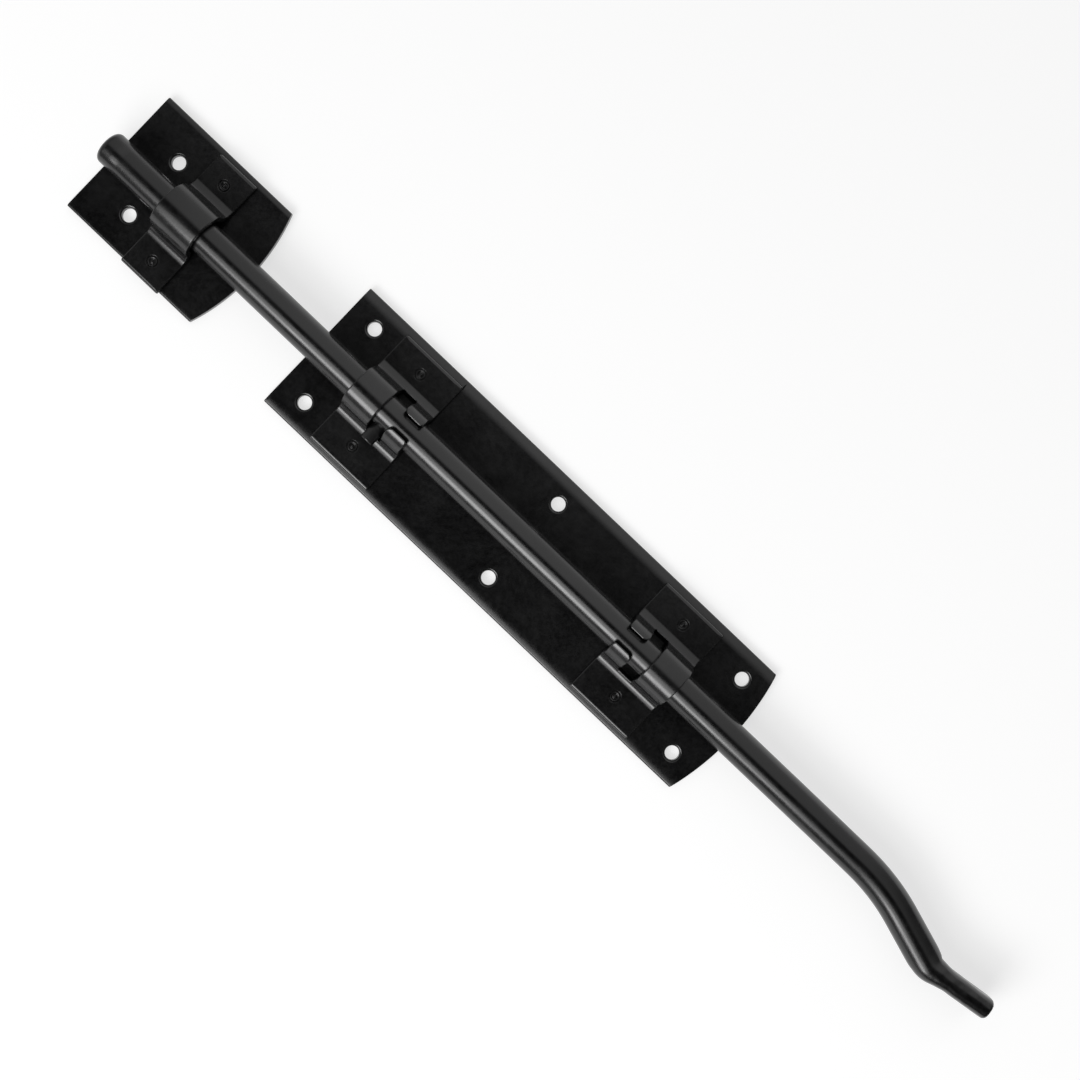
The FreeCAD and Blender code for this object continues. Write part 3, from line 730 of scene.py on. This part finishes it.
def make_rod_rear(node):
    """The rod's rear length: round bar along the tail's route, forged into a blade at its end."""
    low, high = node_box(node)
    count = 96
    route = tail_route(low[0], high[0])
    length = route[-1][2]
    rings = []
    for place, heading, past in route:
        forged = blend(past, -FORGE_START, FORGE_END - FORGE_START)
        share = max(0.0, past / length)
        thick = BLADE_THICK[0] + (BLADE_THICK[1] - BLADE_THICK[0]) * share
        tall = BLADE_TALL[0] + (BLADE_TALL[1] - BLADE_TALL[0]) * share
        half_wide = ROD_RADIUS + (thick / 2 - ROD_RADIUS) * forged
        half_tall = ROD_RADIUS + (tall / 2 - ROD_RADIUS) * forged
        left = length - past
        if left < BLADE_END_ROUND:
            inset = BLADE_END_ROUND - math.sqrt(
                max(0.0, BLADE_END_ROUND ** 2 - (BLADE_END_ROUND - left) ** 2))
            half_wide -= inset
            half_tall -= inset
        squareness = 2 + (BLADE_SQUARENESS - 2) * forged
        across = Vector((-math.sin(heading), math.cos(heading)))
        ring = []
        for number in range(count):
            wide, up = superellipse(2 * math.pi * number / count, half_wide, half_tall,
                                    squareness)
            point = Vector((place.x + across.x * wide, place.y + across.y * wide,
                            AXIS_HEIGHT + up))
            uneven = sum(noise.noise(point * pitch) * height for pitch, height in FORGE_WAVES)
            outward = Vector((across.x * wide, across.y * wide, up)).normalized()
            ring.append(point + outward * (uneven - FORGE_LOSS) * forged)
        rings.append(ring)
    finish_piece(skin(rings), node, "rod_rear", ROD_PAINT)


# ---------------------------------------------------------------- camera, floor and light

CAMERA_PLACE = (0.0045, 0.0048, 0.6667)
CAMERA_ROLL = 43.62
CAMERA_LENS = 56.2


def make_camera():
    """A camera straight above the bolt, turned so that the rod runs down to the right."""
    data = bpy.data.cameras.new("camera")
    data.lens = CAMERA_LENS
    data.sensor_width = 36
    camera = bpy.data.objects.new("camera", data)
    camera.location = CAMERA_PLACE
    camera.rotation_euler = (0, 0, math.radians(CAMERA_ROLL))
    bpy.context.scene.collection.objects.link(camera)
    bpy.context.scene.camera = camera


FLOOR_SIZE = 8
FLOOR_DROP = 0.0003
FLOOR_GREY = 0.45
FLOOR_GLOW = 0.635


def make_floor():
    """A pale table, lit from below like a light table so that shadows on it stay soft."""
    bpy.ops.mesh.primitive_plane_add(size=FLOOR_SIZE, location=(0, 0, -FLOOR_DROP))
    floor = bpy.context.object
    floor.name = "floor"
    nodes = Nodes("floor_white")
    nodes.shader.inputs["Base Color"].default_value = (FLOOR_GREY, FLOOR_GREY, FLOOR_GREY, 1)
    nodes.shader.inputs["Roughness"].default_value = 0.9
    nodes.shader.inputs["Specular IOR Level"].default_value = 0.0
    nodes.shader.inputs["Emission Color"].default_value = (1, 1, 1, 1)
    nodes.shader.inputs["Emission Strength"].default_value = FLOOR_GLOW
    floor.data.materials.append(nodes.material)


def area_light(name, direction, distance, size, energy):
    """A softbox that faces the bolt.  direction is (lean towards +Y, lean towards +X), in
    degrees from straight above."""
    data = bpy.data.lights.new(name, "AREA")
    data.shape = "ELLIPSE"
    data.size, data.size_y = size
    data.energy = energy
    light = bpy.data.objects.new(name, data)
    lean_y, lean_x = (math.radians(angle) for angle in direction)
    light.rotation_euler = Euler((-lean_y, lean_x, 0))
    light.location = light.rotation_euler.to_matrix() @ Vector((0, 0, distance))
    bpy.context.scene.collection.objects.link(light)


def ramp_of(tree, value, reach, stops):
    """A ramp of grey levels over a value that runs from -reach to reach."""
    span = tree.nodes.new("ShaderNodeMapRange")
    span.inputs["From Min"].default_value = -reach
    span.inputs["From Max"].default_value = reach
    tree.links.new(value, span.inputs["Value"])
    ramp = tree.nodes.new("ShaderNodeValToRGB")
    tree.links.new(span.outputs["Result"], ramp.inputs["Fac"])
    elements = ramp.color_ramp.elements
    elements[0].color = (*[stops[0][1]] * 3, 1)
    elements[1].color = (*[stops[-1][1]] * 3, 1)
    for place, level in stops:
        element = elements.new((place + reach) / (2 * reach))
        element.color = (level, level, level, 1)
    return ramp.outputs["Color"]


# How bright the studio is at each lean from straight above, in degrees towards +Y; how that
# fades along the rod, against the sine of the lean towards +X; and how far along the rod the
# dark strip overhead reaches, against the same sine.
STUDIO_SIDES = [(-120, 0.7), (-88, 0.35), (-32, 0.35), (-14, 0.0), (2, 0.0), (13, 1.0), (120, 1.0)]
STUDIO_FADE = [(-0.9, 0.15), (-0.6, 0.25), (-0.03, 1.0), (0.55, 0.12), (0.9, 0.1)]
STUDIO_ENDS = [(-0.7, 0.45), (-0.45, 0.3), (-0.36, 0.0), (0.42, 0.0), (0.55, 0.12), (0.9, 0.1)]


def make_world():
    """Grey surroundings that depend on the direction only: dark overhead, bright to the sides."""
    world = bpy.data.worlds.new("studio")
    world.use_nodes = True
    tree = world.node_tree
    direction = tree.nodes.new("ShaderNodeTexCoord")
    split = tree.nodes.new("ShaderNodeSeparateXYZ")
    tree.links.new(direction.outputs["Generated"], split.inputs["Vector"])
    lean = tree.nodes.new("ShaderNodeMath")
    lean.operation = "ARCTAN2"
    tree.links.new(split.outputs["Y"], lean.inputs[0])
    tree.links.new(split.outputs["Z"], lean.inputs[1])
    sides = ramp_of(tree, lean.outputs["Value"], math.pi,
                    [(math.radians(angle), level) for angle, level in STUDIO_SIDES])
    fade = ramp_of(tree, split.outputs["X"], 1, STUDIO_FADE)
    ends = ramp_of(tree, split.outputs["X"], 1, STUDIO_ENDS)
    faded = tree.nodes.new("ShaderNodeMath")
    faded.operation = "MULTIPLY"
    tree.links.new(sides, faded.inputs[0])
    tree.links.new(fade, faded.inputs[1])
    brighter = tree.nodes.new("ShaderNodeMath")
    brighter.operation = "MAXIMUM"
    tree.links.new(faded.outputs["Value"], brighter.inputs[0])
    tree.links.new(ends, brighter.inputs[1])
    tree.links.new(brighter.outputs["Value"], tree.nodes["Background"].inputs["Color"])
    bpy.context.scene.world = world


# ---------------------------------------------------------------- the bolt

make_plate("base_plate", "base", 4.2, ["base_screws_corners", "base_screws_middle"], 5.4, 0.6)
make_plate("keeper_plate", "keeper", 5.0, ["keeper_screws"], 2.8, 0.3)
make_gated_strap("front_strap", 1)
make_gated_strap("rear_strap", -1)
make_keeper_strap("keeper_strap")
for node in frame["nodes"]:
    if "rivet" in node:
        make_rivet(node, "keeper" if node.startswith("keeper") else "base")
make_rod_front("rod_front")
make_rod_rear("rod_rear")
make_pin("stop_pin")

make_camera()
make_floor()
make_world()
area_light("key", (-53, -3), 1.5, (1.0, 0.58), 8.5)
area_light("key_halo", (-43, -3), 1.55, (1.3, 1.35), 10.5)

bpy.context.scene.view_settings.view_transform = "Standard"
